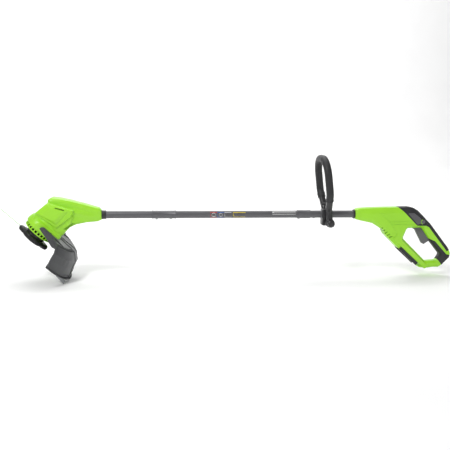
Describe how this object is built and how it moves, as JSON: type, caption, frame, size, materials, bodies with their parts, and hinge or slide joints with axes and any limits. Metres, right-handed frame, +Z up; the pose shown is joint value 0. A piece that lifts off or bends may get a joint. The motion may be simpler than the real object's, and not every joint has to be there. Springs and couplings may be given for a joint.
{
  "type": "string trimmer",
  "caption": "Battery string trimmer with a straight shaft, angled motor head, winged line spool, rear guard, loop handle and open rear handle with trigger.",
  "frame": {"origin": "middle of the bounding box of everything but the cutting line, on the ground below the guard's cutter", "axes": "+X along the shaft from the line head to the rear handle, +Z up, the middle plane is Y = 0"},
  "size_m": [1.5326, 0.2796, 0.4199],
  "materials": {
    "green_plastic": "satin moulded, lime green",
    "guard_plastic": "moulded, dark grey",
    "head_black": "moulded, black",
    "grip_rubber": "overmoulded, fine grain",
    "trigger_plastic": "moulded, mid grey",
    "tube_paint": "powder coated, graphite",
    "collar_plastic": "moulded, black",
    "steel": "bright zinc",
    "blade_steel": "stamped",
    "motor_steel": "drawn can",
    "magnet": "ferrite",
    "copper": "copper",
    "line_nylon": "green monofilament",
    "board_green": "circuit board",
    "cable_jacket": "jacket"
  },
  "bodies": {
    "trimmer_body": {"lower_tube": "tube_paint", "upper_tube": "tube_paint", "coupling_sleeve": "tube_paint", "stop_sleeve": "tube_paint", "coupling_spring": "steel", "tube_rivets": "steel", "head_screws": "steel", "plate_screws": "steel", "motor_bearings": "steel", "guard_screws": "steel", "blade_screws": "steel", "trigger_pin": "steel", "trigger_spring": "steel", "lock_off_spring": "steel", "rear_screws": "steel", "head_collar": "collar_plastic", "rear_collar": "collar_plastic", "switch_module": "collar_plastic", "battery_rails": "collar_plastic", "power_cable": "cable_jacket", "head_shell_left": "green_plastic", "head_shell_right": "green_plastic", "vent_ring": "green_plastic", "rear_shell_left": "green_plastic", "rear_shell_right": "green_plastic", "motor_mount_plate": "motor_steel", "motor_can": "motor_steel", "motor_end_cap": "motor_steel", "motor_magnets": "magnet", "battery_terminals": "copper", "guard": "guard_plastic", "cutoff_blade": "blade_steel", "top_grip_pad": "grip_rubber", "lower_grip_pad": "grip_rubber", "control_board": "board_green"},
    "line_head": {"motor_shaft": "steel", "motor_armature": "motor_steel", "motor_commutator": "copper", "cooling_fan": "head_black", "spool_housing": "head_black", "line_eyelet": "steel", "spool": "head_black", "wound_line": "line_nylon", "arbor_nut": "steel", "spool_cap": "head_black", "cutting_line": "line_nylon"},
    "bump_knob": {"bump_knob": "head_black", "knob_spring": "steel"},
    "handle_clamp": {"clamp_block": "collar_plastic"},
    "loop_handle": {"loop_frame": "collar_plastic", "loop_grip": "grip_rubber", "clamp_nut": "steel"},
    "clamp_knob": {"clamp_knob": "head_black", "clamp_bolt": "steel", "clamp_washer": "steel"},
    "trigger": {"trigger": "trigger_plastic"},
    "lock_off": {"lock_off_button": "trigger_plastic"},
    "snap_button": {"coupling_button": "steel"}
  },
  "joints": [
    {"name": "head_spin", "type": "hinge", "parent": "trimmer_body", "child": "line_head", "pos_m": [-0.67712, 0, 0.15998], "axis": [0.6691, 0, 0.7431], "continuous": true},
    {"name": "knob_press", "type": "slide", "parent": "line_head", "child": "bump_knob", "axis": [0.6691, 0, 0.7431], "range_m": [0, 0.003], "stiffness_N_per_m": 1500, "springref_m": -0.002},
    {"name": "snap_button_press", "type": "slide", "parent": "trimmer_body", "child": "snap_button", "axis": [0, 0, 1], "range_m": [0, 0.003], "stiffness_N_per_m": 1500, "springref_m": -0.001},
    {"name": "handle_slide", "type": "slide", "parent": "trimmer_body", "child": "handle_clamp", "axis": [1, 0, 0], "range_m": [-0.018, 0.06]},
    {"name": "handle_tilt", "type": "hinge", "parent": "handle_clamp", "child": "loop_handle", "pos_m": [0.29888, 0, 0.19098], "axis": [0, 1, 0], "range_deg": [-12, 12]},
    {"name": "clamp_knob_turn", "type": "hinge", "parent": "loop_handle", "child": "clamp_knob", "pos_m": [0.29888, 0, 0.19098], "axis": [0, 1, 0], "continuous": true},
    {"name": "trigger_pull", "type": "hinge", "parent": "trimmer_body", "child": "trigger", "pos_m": [0.61388, 0, 0.17798], "axis": [0, -1, 0], "range_deg": [0, 9], "stiffness_Nm_per_rad": 0.8, "springref_deg": -11.46},
    {"name": "lock_off_press", "type": "slide", "parent": "trimmer_body", "child": "lock_off", "axis": [0, 1, 0], "range_m": [0, 0.003], "stiffness_N_per_m": 800, "springref_m": -0.001}
  ]
}
